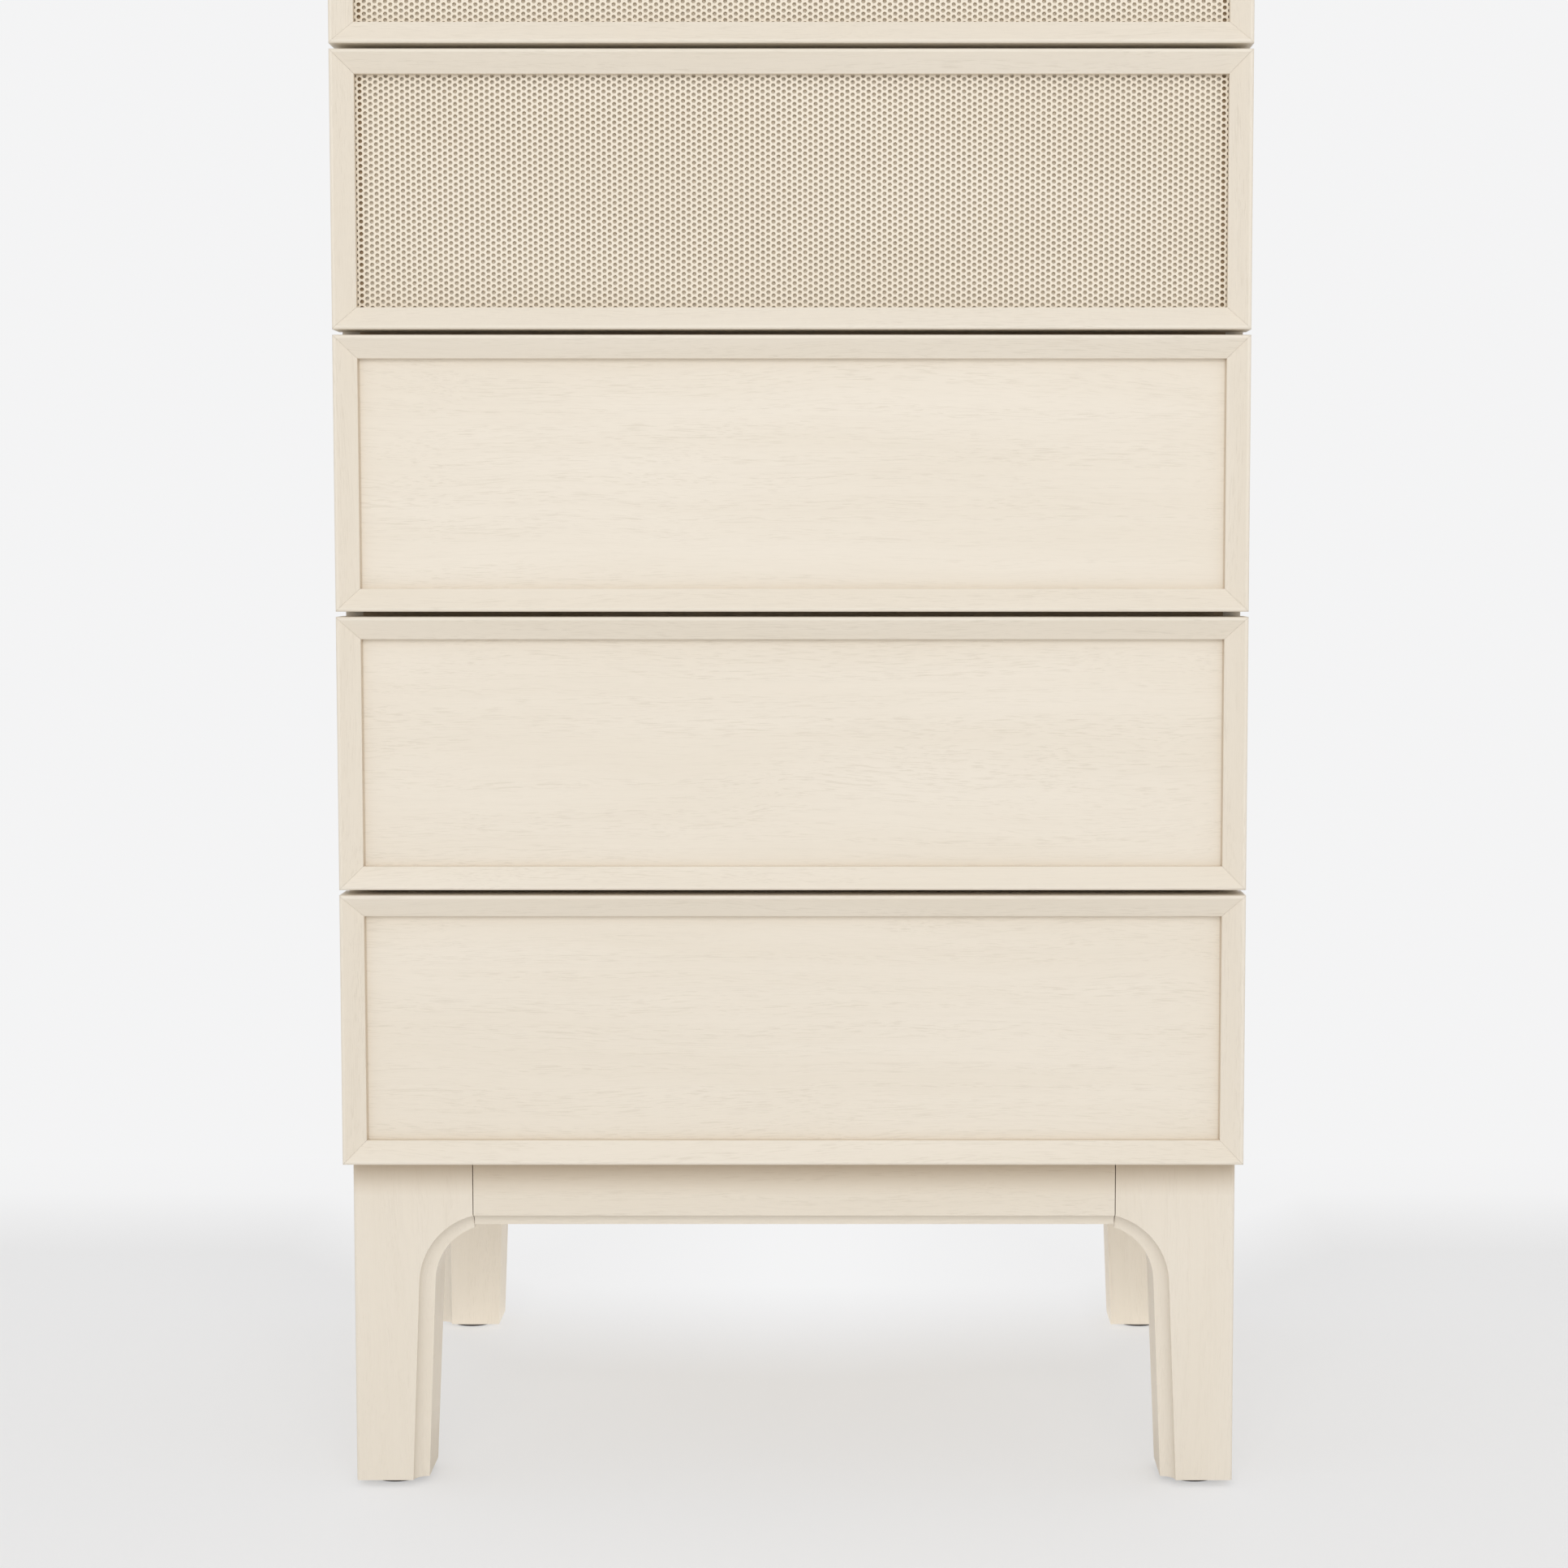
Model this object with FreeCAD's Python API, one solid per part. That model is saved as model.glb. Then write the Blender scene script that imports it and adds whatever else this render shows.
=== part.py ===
import FreeCAD, Part
import math
import os

os.makedirs("parts", exist_ok=True)
Vector = FreeCAD.Vector

# A narrow painted chest of seven drawers on a base with four arched legs.
# Lengths are in millimetres. The fronts face -Y, z = 0 is the floor, x = 0 is the middle.

# Overall sizes
front_width = 525.0
total_depth = 450.0
base_height = 200.0
drawer_count = 7
perforated_count = 4
front_height = 158.0
front_gap = 3.0
top_thickness = 20.0
top_round = 2.0

# Frame round each drawer front: a sloping face, a flat lip and a rebate for the panel
frame_face = 13.0
frame_depth = 28.0
bevel_depth = 9.5
lip_depth = 5.0
rebate_width = 5.0
frame_round = 1.4
mitre_gap = 0.05
panel_play = 0.3

# Perforated fronts: a metal sheet held against the lip by a board with a shallow pocket
sheet_thickness = 1.2
pocket_depth = 1.5

# Case
front_overhang = 1.5
front_clearance = 2.0
side_thickness = 16.0
bottom_thickness = 16.0
housing_depth = 6.0
joint_play = 0.1
back_thickness = 5.0
back_inset = 3.0
back_rebate = 8.0
rail_thickness = 16.0
rail_depth = 45.0
rear_rail_thickness = 16.0
rear_rail_height = 50.0

# Drawer box
box_length = 380.0
box_board = 12.0
box_height = 120.0
box_rise = 22.0
box_bottom_thickness = 5.0
box_bottom_rise = 10.0
groove_depth = 6.0

# Side runners: a channel on the case and a rail on the drawer
runner_space = 13.0
runner_length = 380.0
runner_height = 36.0
runner_sheet = 1.5
channel_flange = 10.5
rail_flange = 9.0
runner_play = 0.3
runner_rise = 48.0
runner_setback = 2.0

# Legs
shoulder_width = 70.5
shoulder_depth = 76.0
shoulder_height = 45.0
knee_width = 47.0
knee_depth = 52.0
arch_radius = 34.0
leg_cove = 8.5
leg_round = 2.0
taper_angle = math.radians(2.3)
arch_overrun_angle = math.radians(15.0)

# Aprons, with tenons in the legs
apron_height = 42.5
apron_thickness = 20.0
apron_cove = 6.5
shoulder_gap = 0.5
tenon_thickness = 8.0
tenon_height = 24.0
tenon_length = 18.0
tenon_play = 0.15

# Base fixings
glide_radius = 15.0
glide_height = 4.0
bolt_radius = 4.0
bolt_length = 40.0
bolt_in_board = 12.0
bolt_play = 0.3
cleat_size = 18.0
cleat_length = 300.0
cleat_screw_spacing = 220.0

# Screws
screw_radius = 2.0
screw_head_radius = 4.0
screw_head_height = 1.8
screw_length = 28.0
screw_play = 0.3
back_screws_per_side = 6
back_screw_margin = 75.0

# How far cutting shapes reach past what they cut, and how close a point counts as on an edge
overrun = 20.0
match_distance = 0.1

# Places that follow from the sizes
module = front_height + front_gap
case_top = base_height + drawer_count * module
front_plane = -total_depth / 2
front_back = front_plane + frame_depth
case_front = front_back + front_clearance
case_back = total_depth / 2
case_width = front_width - 2 * front_overhang
inner_half = case_width / 2 - side_thickness
back_front = case_back - back_inset - back_thickness
lip_plane = front_plane + bevel_depth + lip_depth
box_half = inner_half - runner_space
box_back = front_back + box_length


def front_bottom(number):
    """Height of the lower edge of a drawer front; drawer 1 is the top one."""
    return base_height + (drawer_count - number) * module


def block(x0, x1, y0, y1, z0, z1):
    """A box between two corners."""
    return Part.makeBox(x1 - x0, y1 - y0, z1 - z0, Vector(x0, y0, z0))


def mirrored_x(shape):
    return shape.mirror(Vector(0, 0, 0), Vector(1, 0, 0))


def prism(points, direction):
    """A straight solid on a closed outline."""
    outline = Part.makePolygon(points + [points[0]])
    return Part.Face(outline).extrude(direction)


def edges_on(shape, test):
    """Edges whose two ends both pass a test."""
    return [edge for edge in shape.Edges if all(test(v.Point) for v in edge.Vertexes)]


def near(value, target):
    return abs(value - target) < match_distance


def save(name, *solids):
    """Write one node; a node of several pieces keeps them as separate solids."""
    shape = solids[0] if len(solids) == 1 else Part.makeCompound(list(solids))
    shape.exportStep("parts/" + name + ".step")


# Drawer fronts


def frame_bar(length):
    """One mitred bar along X with its outer edge at z = 0."""
    section = [
        Vector(-length / 2, front_plane, 0),
        Vector(-length / 2, front_plane + bevel_depth, frame_face),
        Vector(-length / 2, lip_plane, frame_face),
        Vector(-length / 2, lip_plane, frame_face - rebate_width),
        Vector(-length / 2, front_back, frame_face - rebate_width),
        Vector(-length / 2, front_back, 0),
    ]
    bar = prism(section, Vector(length, 0, 0))
    arris = edges_on(bar, lambda p: near(p.y, front_plane) and near(p.z, 0))
    bar = bar.makeFillet(frame_round, arris)
    reach = length / 2 - mitre_gap
    plan = [
        Vector(-reach, front_plane, 0),
        Vector(reach, front_plane, 0),
        Vector(reach - frame_face, front_plane, frame_face),
        Vector(frame_face - reach, front_plane, frame_face),
    ]
    return bar.common(prism(plan, Vector(0, frame_depth, 0)))


def turned(shape, angle, centre):
    """A copy turned in the plane of the front."""
    copy = shape.copy()
    copy.rotate(centre, Vector(0, 1, 0), angle)
    return copy


def front_frame(number):
    """Four mitred bars: bottom, top, left and right."""
    middle = Vector(0, 0, front_height / 2)
    rail = frame_bar(front_width)
    stile = frame_bar(front_height)
    stile.translate(Vector(0, 0, (front_height - front_width) / 2))
    bars = [rail, turned(rail, 180, middle), turned(stile, 90, middle), turned(stile, -90, middle)]
    for bar in bars:
        bar.translate(Vector(0, 0, front_bottom(number)))
    return bars


def front_sheet(number, y0, y1, margin):
    """A flat piece behind the lip, its edges a margin in from the outside of the front."""
    half = front_width / 2 - margin
    low = front_bottom(number) + margin
    high = front_bottom(number) + front_height - margin
    return block(-half, half, y0, y1, low, high)


def make_front(number):
    name = "drawer_%d_" % number
    margin = frame_face - rebate_width + panel_play
    save(name + "front_frame", *front_frame(number))
    if number > perforated_count:
        save(name + "front_panel", front_sheet(number, lip_plane, front_back, margin))
        return
    backing_plane = lip_plane + sheet_thickness
    save(name + "perforated_sheet", front_sheet(number, lip_plane, backing_plane, margin))
    backing = front_sheet(number, backing_plane, front_back, margin)
    pocket = front_sheet(number, backing_plane, backing_plane + pocket_depth, frame_face)
    save(name + "front_backing", backing.cut(pocket))


# Drawer boxes


def make_box(number):
    """Four boards with a groove near the lower edge, and the bottom held in the grooves."""
    low = front_bottom(number) + box_rise
    high = low + box_height
    clear_half = box_half - box_board
    front_inside = front_back + box_board
    back_inside = box_back - box_board
    panel_low = low + box_bottom_rise
    panel_high = panel_low + box_bottom_thickness
    reach = groove_depth - joint_play
    groove = block(
        -clear_half - groove_depth, clear_half + groove_depth,
        front_inside - groove_depth, back_inside + groove_depth,
        panel_low, panel_high + joint_play)
    left = block(-box_half, -clear_half, front_back, box_back, low, high).cut(groove)
    front = block(-clear_half, clear_half, front_back, front_inside, low, high).cut(groove)
    back = block(-clear_half, clear_half, back_inside, box_back, low, high).cut(groove)
    bottom = block(
        -clear_half - reach, clear_half + reach,
        front_inside - reach, back_inside + reach,
        panel_low, panel_high)
    save("drawer_%d_box" % number, left, mirrored_x(left), front, back)
    save("drawer_%d_bottom" % number, bottom)


# Runners


def runner_middle(number):
    return front_bottom(number) + box_rise + runner_rise


def case_channel(number):
    """The left channel: a web on the case side and two flanges round the drawer's rail."""
    low = runner_middle(number) - runner_height / 2
    high = runner_middle(number) + runner_height / 2
    y0 = case_front + runner_setback
    y1 = y0 + runner_length
    outer = block(-inner_half, -inner_half + channel_flange, y0, y1, low, high)
    inner = block(
        -inner_half + runner_sheet, -inner_half + channel_flange,
        y0, y1, low + runner_sheet, high - runner_sheet)
    return outer.cut(inner)


def drawer_rail(number):
    """The left rail: a web on the drawer's side and two flanges inside the channel."""
    half = runner_height / 2 - runner_sheet - runner_play
    low = runner_middle(number) - half
    high = runner_middle(number) + half
    y0 = case_front + runner_setback
    y1 = y0 + runner_length
    outer = block(-box_half - rail_flange, -box_half, y0, y1, low, high)
    inner = block(
        -box_half - rail_flange, -box_half - runner_sheet,
        y0, y1, low + runner_sheet, high - runner_sheet)
    return outer.cut(inner)


def make_runners():
    channels = []
    for number in range(1, drawer_count + 1):
        channel = case_channel(number)
        channels += [channel, mirrored_x(channel)]
        rail = drawer_rail(number)
        save("drawer_%d_runners" % number, rail, mirrored_x(rail))
    save("case_runners", *channels)


# Case


def rail_heights():
    """Lower faces of the rails between the drawers."""
    return [front_bottom(number) - front_gap / 2 - rail_thickness / 2 for number in range(1, drawer_count)]


def cross_rail(low, reach, y0, y1, height):
    return block(-inner_half - reach, inner_half + reach, y0, y1, low, low + height)


def rail_set(reach):
    """All rails between the sides: the dividers, then the two under the top."""
    rail_back = case_front + rail_depth
    dividers = [cross_rail(low, reach, case_front, rail_back, rail_thickness) for low in rail_heights()]
    upper = cross_rail(case_top - rail_thickness, reach, case_front, rail_back, rail_thickness)
    rear_low = case_top - rear_rail_height
    rear = cross_rail(rear_low, reach, back_front - rear_rail_thickness, back_front, rear_rail_height)
    return dividers, [upper, rear]


def back_screw_places():
    """Points on the back panel where the left row of screws goes in."""
    x = -inner_half - back_rebate / 2
    y = case_back - back_inset
    first = base_height + back_screw_margin
    step = (case_top - back_screw_margin - first) / (back_screws_per_side - 1)
    return [Vector(x, y, first + step * index) for index in range(back_screws_per_side)]


def screw(head_seat, direction):
    """A screw that goes into a surface at a point; its head stands on the surface."""
    shank = Part.makeCylinder(screw_radius, screw_length, head_seat, direction)
    outward = direction * -1
    head = Part.makeCylinder(screw_head_radius, screw_head_height, head_seat, outward)
    return shank.fuse(head).removeSplitter()


def screw_hole(head_seat, direction):
    length = screw_length + screw_play
    return Part.makeCylinder(screw_radius + screw_play, length, head_seat, direction)


def cleat_screw_places():
    """Points on the undersides of the cleats where their screws go in."""
    z = base_height - cleat_size
    front_y = case_front + apron_thickness + cleat_size / 2
    rear_y = case_back - apron_thickness - cleat_size / 2
    half = cleat_screw_spacing / 2
    return [Vector(x, y, z) for y in (front_y, rear_y) for x in (-half, half)]


def make_sides():
    left = block(
        -case_width / 2, -inner_half, case_front, case_back, base_height, case_top + housing_depth)
    bottom_housing = block(
        -inner_half - housing_depth, -inner_half, case_front, back_front,
        base_height, base_height + bottom_thickness)
    rebate = block(-inner_half - back_rebate, -inner_half, back_front, case_back, base_height, case_top)
    tongue_end = block(
        -case_width / 2, -inner_half, back_front, case_back, case_top, case_top + housing_depth)
    dividers, upper = rail_set(housing_depth)
    holes = [screw_hole(place, Vector(0, -1, 0)) for place in back_screw_places()]
    left = left.cut([bottom_housing, rebate, tongue_end] + dividers + upper + holes)
    save("left_side_panel", left)
    save("right_side_panel", mirrored_x(left))


def make_rails():
    dividers, upper = rail_set(housing_depth - joint_play)
    save("divider_rails", *dividers)
    save("top_rails", *upper)


def make_top():
    half = front_width / 2
    board = block(-half, half, front_plane, case_back, case_top, case_top + top_thickness)
    top_face = case_top + top_thickness
    board = board.makeFillet(top_round, edges_on(board, lambda p: near(p.z, top_face)))
    groove = block(
        -case_width / 2 - joint_play, -inner_half + joint_play,
        case_front - joint_play, back_front + joint_play, case_top, case_top + housing_depth)
    save("top_board", board.cut([groove, mirrored_x(groove)]))


def make_bottom():
    reach = inner_half + housing_depth - joint_play
    board = block(-reach, reach, case_front, back_front, base_height, base_height + bottom_thickness)
    holes = [screw_hole(place, Vector(0, 0, 1)) for place in cleat_screw_places()]
    sockets = [bolt_hole(x, y) for x, y in bolt_places()]
    save("bottom_board", board.cut(holes + sockets))


def make_back():
    reach = inner_half + back_rebate - joint_play
    panel = block(-reach, reach, back_front, case_back - back_inset, base_height, case_top)
    left = [screw_hole(place, Vector(0, -1, 0)) for place in back_screw_places()]
    save("back_panel", panel.cut(left + [mirrored_x(hole) for hole in left]))


def make_screws():
    up = [screw(place, Vector(0, 0, 1)) for place in cleat_screw_places()]
    left = [screw(place, Vector(0, -1, 0)) for place in back_screw_places()]
    save("case_screws", *(up + left + [mirrored_x(piece) for piece in left]))


# Base


def arch_end_angle(knee, shoulder):
    """Angle turned by the arch from the upright to where it meets the apron."""
    return math.acos(math.cos(taper_angle) - (shoulder - knee) / arch_radius)


def arch_point(knee, shoulder, angle):
    """Point of a leg's arch, as distance in from the outer face and height."""
    end = arch_end_angle(knee, shoulder)
    centre_run = knee + arch_radius * math.cos(taper_angle)
    centre_height = base_height - shoulder_height - arch_radius * math.sin(end)
    run = centre_run - arch_radius * math.cos(angle)
    return run, centre_height + arch_radius * math.sin(angle)


def foot_run(knee, shoulder, height):
    """Distance in from the outer face of the tapered edge below the arch."""
    run, knee_height = arch_point(knee, shoulder, taper_angle)
    return run - (knee_height - height) * math.tan(taper_angle)


def arch_edge(knee, shoulder, last_angle, place):
    """The arch as an edge; place turns a run and a height into a point."""
    middle = (taper_angle + last_angle) / 2
    angles = (taper_angle, middle, last_angle)
    return Part.Arc(*[place(*arch_point(knee, shoulder, angle)) for angle in angles]).toShape()


def leg_side(knee, shoulder, place, direction):
    """A leg seen from one side, drawn out along a direction."""
    end = arch_end_angle(knee, shoulder)
    low_inner = place(foot_run(knee, shoulder, glide_height), glide_height)
    knee_point = place(*arch_point(knee, shoulder, taper_angle))
    arch_top = place(*arch_point(knee, shoulder, end))
    corners = [arch_top, place(shoulder, base_height), place(0, base_height), place(0, glide_height), low_inner]
    edges = [Part.makeLine(low_inner, knee_point), arch_edge(knee, shoulder, end, place)]
    edges += [Part.makeLine(first, second) for first, second in zip(corners, corners[1:])]
    return Part.Face(Part.Wire(Part.__sortEdges__(edges))).extrude(direction)


def leg_cove_cut(knee, shoulder, place):
    """A round bar along the arris of the arch, which cuts its hollow edge."""
    start_height = glide_height - overrun
    start = place(foot_run(knee, shoulder, start_height), start_height)
    knee_point = place(*arch_point(knee, shoulder, taper_angle))
    last_angle = arch_end_angle(knee, shoulder) + arch_overrun_angle
    path = Part.Wire([Part.makeLine(start, knee_point), arch_edge(knee, shoulder, last_angle, place)])
    ring = Part.Wire(Part.makeCircle(leg_cove, start, knee_point - start))
    return path.makePipeShell([ring], True, True)


def tenon_box(x0, x1, y0, y1, play):
    """A tenon that leaves the apron's middle, or with play the mortise for it."""
    middle = base_height - apron_height / 2
    half = tenon_height / 2 + play
    return block(x0, x1, y0, y1, middle - half, middle + half)


def front_tenon(x0, x1, y_face, play):
    middle = y_face + apron_thickness / 2
    half = tenon_thickness / 2 + play
    return tenon_box(x0, x1, middle - half, middle + half, play)


def side_tenon(y0, y1, play):
    middle = -case_width / 2 + apron_thickness / 2
    half = tenon_thickness / 2 + play
    return tenon_box(middle - half, middle + half, y0, y1, play)


def left_leg():
    """The front left leg, arched on its two inner sides."""
    outer = -case_width / 2
    on_front = lambda run, height: Vector(outer + run, case_front, height)
    on_side = lambda run, height: Vector(outer, case_front + run, height)
    leg = leg_side(knee_width, shoulder_width, on_front, Vector(0, shoulder_depth, 0))
    leg = leg.common(leg_side(knee_depth, shoulder_depth, on_side, Vector(shoulder_width, 0, 0)))
    corner = edges_on(leg, lambda p: near(p.x, outer) and near(p.y, case_front))
    leg = leg.makeFillet(leg_round, corner)
    shoulder_x = outer + shoulder_width
    shoulder_y = case_front + shoulder_depth
    reach = tenon_length + tenon_play
    cuts = [
        leg_cove_cut(knee_depth, shoulder_depth, on_side),
        leg_cove_cut(knee_width, shoulder_width, on_front),
        front_tenon(shoulder_x - reach, shoulder_x, case_front, tenon_play),
        side_tenon(shoulder_y - reach, shoulder_y, tenon_play),
        bolt_hole(*bolt_places()[0]),
    ]
    for cut in cuts:
        leg = leg.cut(cut)
    return leg


def to_rear(shape):
    """The same piece at the back of the base."""
    middle = (case_front + case_back) / 2
    return shape.mirror(Vector(0, middle, 0), Vector(0, 1, 0))


def make_legs():
    front = left_leg()
    rear = to_rear(front)
    save("front_left_leg", front)
    save("front_right_leg", mirrored_x(front))
    save("rear_left_leg", rear)
    save("rear_right_leg", mirrored_x(rear))


def make_cross_aprons():
    half = case_width / 2 - shoulder_width - shoulder_gap
    low = base_height - apron_height
    board = block(-half, half, case_front, case_front + apron_thickness, low, base_height)
    tenon_half = half + shoulder_gap + tenon_length
    board = board.fuse(front_tenon(-tenon_half, tenon_half, case_front, 0)).removeSplitter()
    start = Vector(-half - overrun, case_front, low)
    cove = Part.makeCylinder(apron_cove, half + half + overrun + overrun, start, Vector(1, 0, 0))
    board = board.cut(cove)
    save("front_apron", board)
    save("rear_apron", to_rear(board))


def make_side_aprons():
    outer = -case_width / 2
    y0 = case_front + shoulder_depth + shoulder_gap
    y1 = case_back - shoulder_depth - shoulder_gap
    low = base_height - apron_height
    board = block(outer, outer + apron_thickness, y0, y1, low, base_height)
    past = shoulder_gap + tenon_length
    board = board.fuse(side_tenon(y0 - past, y1 + past, 0)).removeSplitter()
    start = Vector(outer, y0 - overrun, low)
    cove = Part.makeCylinder(apron_cove, y1 - y0 + overrun + overrun, start, Vector(0, 1, 0))
    board = board.cut(cove)
    save("left_apron", board)
    save("right_apron", mirrored_x(board))


def bolt_places():
    """Plan positions of the leg bolts, the front left one first."""
    x = -case_width / 2 + shoulder_width / 2
    front_y = case_front + shoulder_depth / 2
    rear_y = case_back - shoulder_depth / 2
    return [(side * x, y) for y in (front_y, rear_y) for side in (1, -1)]


def bolt_hole(x, y):
    low = base_height + bolt_in_board - bolt_length
    return Part.makeCylinder(bolt_radius + bolt_play, bolt_length + bolt_play, Vector(x, y, low))


def leg_bolt(x, y):
    low = base_height + bolt_in_board - bolt_length
    return Part.makeCylinder(bolt_radius, bolt_length, Vector(x, y, low))


def foot_glide(side, front):
    """A round glide under one foot."""
    run_x = foot_run(knee_width, shoulder_width, glide_height) / 2
    run_y = foot_run(knee_depth, shoulder_depth, glide_height) / 2
    x = side * (case_width / 2 - run_x)
    y = case_front + run_y if front else case_back - run_y
    return Part.makeCylinder(glide_radius, glide_height, Vector(x, y, 0))


def make_base_fixings():
    half = cleat_length / 2
    low = base_height - cleat_size
    y0 = case_front + apron_thickness
    cleat = block(-half, half, y0, y0 + cleat_size, low, base_height)
    front_holes = [screw_hole(place, Vector(0, 0, 1)) for place in cleat_screw_places()[:2]]
    cleat = cleat.cut(front_holes)
    save("base_cleats", cleat, to_rear(cleat))
    save("leg_bolts", *[leg_bolt(x, y) for x, y in bolt_places()])
    save("foot_glides", *[foot_glide(side, front) for front in (True, False) for side in (-1, 1)])


make_sides()
make_rails()
make_top()
make_bottom()
make_back()
make_screws()
make_legs()
make_cross_aprons()
make_side_aprons()
make_base_fixings()
make_runners()
for drawer in range(1, drawer_count + 1):
    make_front(drawer)
    make_box(drawer)
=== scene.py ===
# %% [markdown]
# # A cream chest of seven drawers
# The chest is narrow and tall. It stands on four arched legs, and every drawer front is a mitred frame round
# a panel: painted wood on the lower three drawers, painted perforated metal on the upper four.
# The solids were made in CAD and come in as a fixed frame. This lesson adds what a solid lacks: the paint with
# its wood grain, the holes in the metal, the heads of the screws, the finishes inside, and a studio's light.

# %% Load the solids
import math
import bpy
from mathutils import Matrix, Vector


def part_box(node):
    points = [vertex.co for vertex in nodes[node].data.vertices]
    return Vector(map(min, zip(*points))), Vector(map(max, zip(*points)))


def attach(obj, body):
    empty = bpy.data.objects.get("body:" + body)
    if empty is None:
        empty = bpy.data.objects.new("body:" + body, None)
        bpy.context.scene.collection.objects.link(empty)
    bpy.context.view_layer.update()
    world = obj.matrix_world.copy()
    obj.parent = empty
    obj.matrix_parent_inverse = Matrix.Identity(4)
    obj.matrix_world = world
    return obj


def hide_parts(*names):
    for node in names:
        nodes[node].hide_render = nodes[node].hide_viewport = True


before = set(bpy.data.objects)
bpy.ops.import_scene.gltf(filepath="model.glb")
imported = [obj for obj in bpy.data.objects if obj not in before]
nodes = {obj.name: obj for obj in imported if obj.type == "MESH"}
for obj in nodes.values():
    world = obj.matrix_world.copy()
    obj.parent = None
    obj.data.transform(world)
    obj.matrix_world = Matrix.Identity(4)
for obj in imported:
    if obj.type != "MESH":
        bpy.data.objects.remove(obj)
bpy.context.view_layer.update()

# %% [markdown]
# ## Camera
# The picture was taken from straight in front, at about the height of the third drawer from the floor, with the
# camera tipped down a little, so the sides of the chest draw together towards the floor. A fairly long lens
# keeps that slight. The frame of the picture lies to the left of the lens axis, and a lens shift does that
# without turning the camera.

# %% Camera
eye = Vector((0.0374, -2.0193, 0.5615))
tilt_down = math.radians(4.419)
sensor_mm = 36
lens_mm = 71.66
sideways_shift = -0.0467
bpy.ops.object.camera_add(location=eye, rotation=(math.pi / 2 - tilt_down, 0, 0))
camera = bpy.context.active_object
camera.data.sensor_width = sensor_mm
camera.data.lens = lens_mm
camera.data.shift_x = sideways_shift
scene = bpy.context.scene
scene.camera = camera
scene.view_settings.view_transform = "Standard"
print("camera at", tuple(eye), "lens", camera.data.lens)

# %% [markdown]
# ## Small helpers for finishes
# Every finish is a graph of shader nodes. A few short helpers keep the graphs readable: one adds a node and fills
# its inputs, one starts a finish and gives back its main shader, and the others wrap a single kind of node.
# All patterns read Object coordinates, which here are metres in the chest's own frame, so a grain line 0.5 mm
# wide is written as 0.0005.

# %% Helpers for finishes


def add_node(tree, kind, inputs=None, **settings):
    """Add a node; an input takes a plain value or another node's output."""
    node = tree.nodes.new(kind)
    for name, value in settings.items():
        setattr(node, name, value)
    for name, value in (inputs or {}).items():
        if isinstance(value, bpy.types.NodeSocket):
            tree.links.new(value, node.inputs[name])
        else:
            node.inputs[name].default_value = value
    return node


def new_finish(name):
    """A finish with nodes, and its main shader."""
    finish = bpy.data.materials.new(name)
    finish.use_nodes = True
    return finish, finish.node_tree, finish.node_tree.nodes["Principled BSDF"]


def place_of(tree):
    """The point's own place in metres."""
    return add_node(tree, "ShaderNodeTexCoord").outputs["Object"]


def axes_of(tree):
    """The place split into its three numbers, X, Y and Z."""
    return add_node(tree, "ShaderNodeSeparateXYZ", {0: place_of(tree)}).outputs


def joined(tree, x, y, z):
    """Three numbers put together as a place."""
    return add_node(tree, "ShaderNodeCombineXYZ", {0: x, 1: y, 2: z}).outputs[0]


def arithmetic(tree, operation, first, second=0.0):
    return add_node(tree, "ShaderNodeMath", {0: first, 1: second}, operation=operation).outputs[0]


def vector_arithmetic(tree, operation, first, second):
    return add_node(tree, "ShaderNodeVectorMath", {0: first, 1: second}, operation=operation).outputs[0]


def noise(tree, place, sizes, detail=2.0, output="Fac"):
    """Soft noise whose features have the given size along each axis."""
    scale = tuple(1.0 / size for size in sizes)
    spread = vector_arithmetic(tree, "MULTIPLY", place, scale)
    node = add_node(tree, "ShaderNodeTexNoise", {"Vector": spread, "Scale": 1.0, "Detail": detail})
    return node.outputs[output]


def between(tree, value, low, high, at_low, at_high):
    """Map a value from one range to another, held at the ends."""
    node = add_node(tree, "ShaderNodeMapRange", {
        "Value": value, "From Min": low, "From Max": high, "To Min": at_low, "To Max": at_high})
    return node.outputs["Result"]


def mixed(tree, share, first, second):
    """A colour between two others."""
    return add_node(tree, "ShaderNodeMix", {0: share, 6: first, 7: second}, data_type="RGBA").outputs[2]


def either(tree, second_one, first, second):
    """The first place, or the second where the switch is one."""
    return add_node(tree, "ShaderNodeMix", {0: second_one, 4: first, 5: second}, data_type="VECTOR").outputs[1]


def emboss(tree, shader, height, strength, depth):
    """Let a pattern of heights bend the surface a little."""
    bump = add_node(tree, "ShaderNodeBump", {"Height": height, "Strength": strength, "Distance": depth})
    tree.links.new(bump.outputs["Normal"], shader.inputs["Normal"])


# %% [markdown]
# ## Floor, backdrop and light
# The studio is a pale floor that runs into a near white background with no line between them. A curved
# backdrop could do that, but it would stand in the way of the views from behind. Here the floor is a flat
# sheet that takes the shadow near the chest and fades to the background's colour further out, soonest in the
# middle behind the chest and a little less beside the rear legs.

# %% Floor
backdrop_colour = (0.905, 0.905, 0.91, 1.0)
floor_dark = (0.86, 0.86, 0.86, 1.0)
floor_light = (0.89, 0.89, 0.89, 1.0)
floor_size = 40.0
mottle_size = (0.4, 0.4, 0.4)
near_share = 0.5
middle_half, side_half = 0.20, 0.42
middle_start, side_start = 0.04, 0.38
fade_length = 0.27
clear_half, leg_half = 0.03, 0.21
leg_share = 0.85
leg_shade_start, leg_shade_end = 0.40, 0.80
outer_start, outer_end = 0.8, 2.2
bpy.ops.object.select_all(action="DESELECT")
bpy.ops.mesh.primitive_plane_add(size=floor_size, location=(0, 0, 0))
floor = bpy.context.active_object
floor.name = "studio_floor"


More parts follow.
